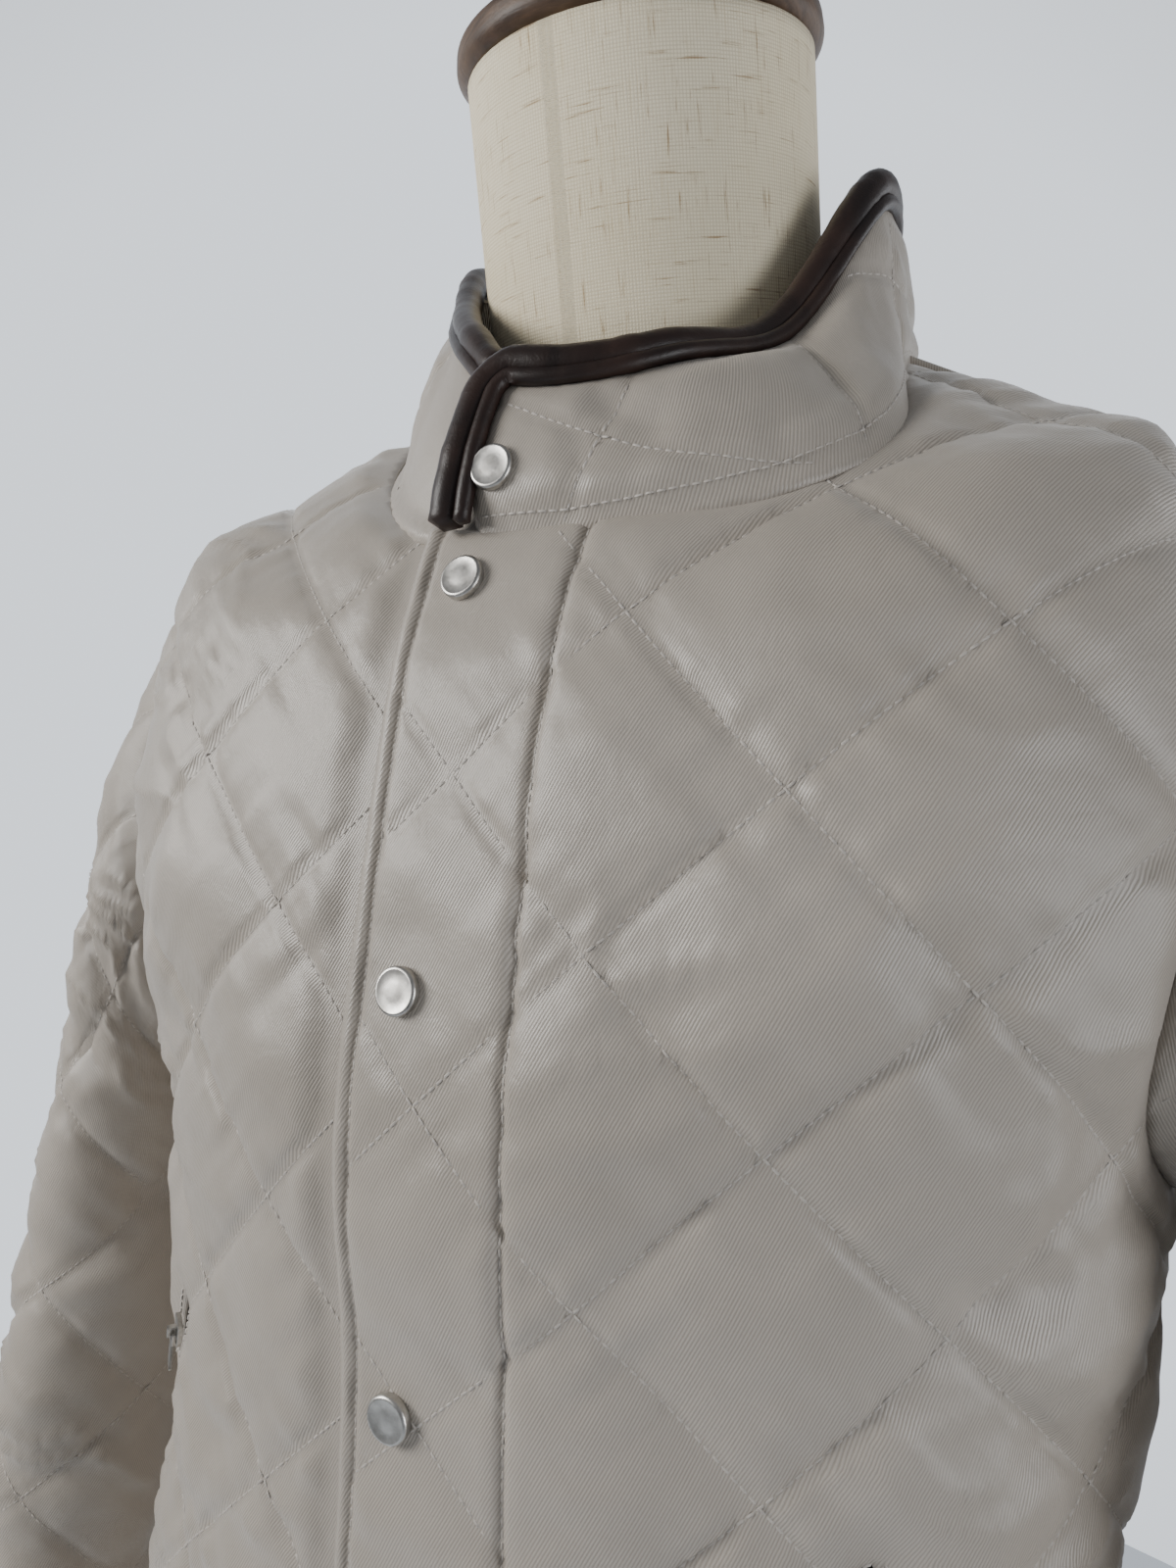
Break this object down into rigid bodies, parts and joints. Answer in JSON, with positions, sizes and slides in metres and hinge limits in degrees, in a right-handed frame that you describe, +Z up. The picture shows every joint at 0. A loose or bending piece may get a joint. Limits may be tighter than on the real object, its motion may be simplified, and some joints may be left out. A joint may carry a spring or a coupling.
{
  "type": "quilted jacket on a dress form",
  "caption": "Diamond-quilted jacket with stand collar, snap front, zip pockets and elbow patches, worn on a limbless linen dress form with a turned cap and round stand.",
  "frame": {"origin": "centre of the underside of the round stand base, on the floor", "axes": "+Z up, -Y the way the jacket's front faces, +X the wearer's left"},
  "size_m": [0.6714, 0.2947, 1.0983],
  "materials": {
    "shell": "quilted fine twill with a soft satin sheen",
    "facing": "dark ribbed facing",
    "binding": "soft dark leather-look roll",
    "metal": "antique silver, bare",
    "pocket": "dark pocket cloth",
    "leather": "smooth brown leather",
    "linen": "natural linen with flecks",
    "wood": "dark turned wood, worn"
  },
  "bodies": {
    "jacket_and_form": {"front_left": "shell", "front_right": "shell", "back": "shell", "sleeve_left": "shell", "sleeve_right": "shell", "collar": "shell", "collar_facing": "facing", "collar_binding": "binding", "shoulder_piping_left": "shell", "shoulder_piping_right": "shell", "snap_collar": "metal", "snap_1": "metal", "snap_2": "metal", "snap_3": "metal", "snap_4": "metal", "snap_5": "metal", "pocket_backing_left": "pocket", "zip_slider_left": "metal", "elbow_patch_left": "leather", "pocket_backing_right": "pocket", "zip_slider_right": "metal", "elbow_patch_right": "leather", "form_torso": "linen", "neck_cap": "wood", "stand_pole": "wood", "stand_base": "wood"},
    "pull_left": {"zip_pull_left": "metal"},
    "pull_right": {"zip_pull_right": "metal"}
  },
  "joints": [
    {"name": "zip_pull_left_swing", "type": "hinge", "parent": "jacket_and_form", "child": "pull_left", "pos_m": [0.13852, -0.10595, 0.51578], "axis": [-0.7949, -0.4837, -0.3663], "range_deg": [0, 150]},
    {"name": "zip_pull_right_swing", "type": "hinge", "parent": "jacket_and_form", "child": "pull_right", "pos_m": [-0.13852, -0.10595, 0.51578], "axis": [-0.7949, 0.4837, 0.3663], "range_deg": [0, 150]}
  ]
}
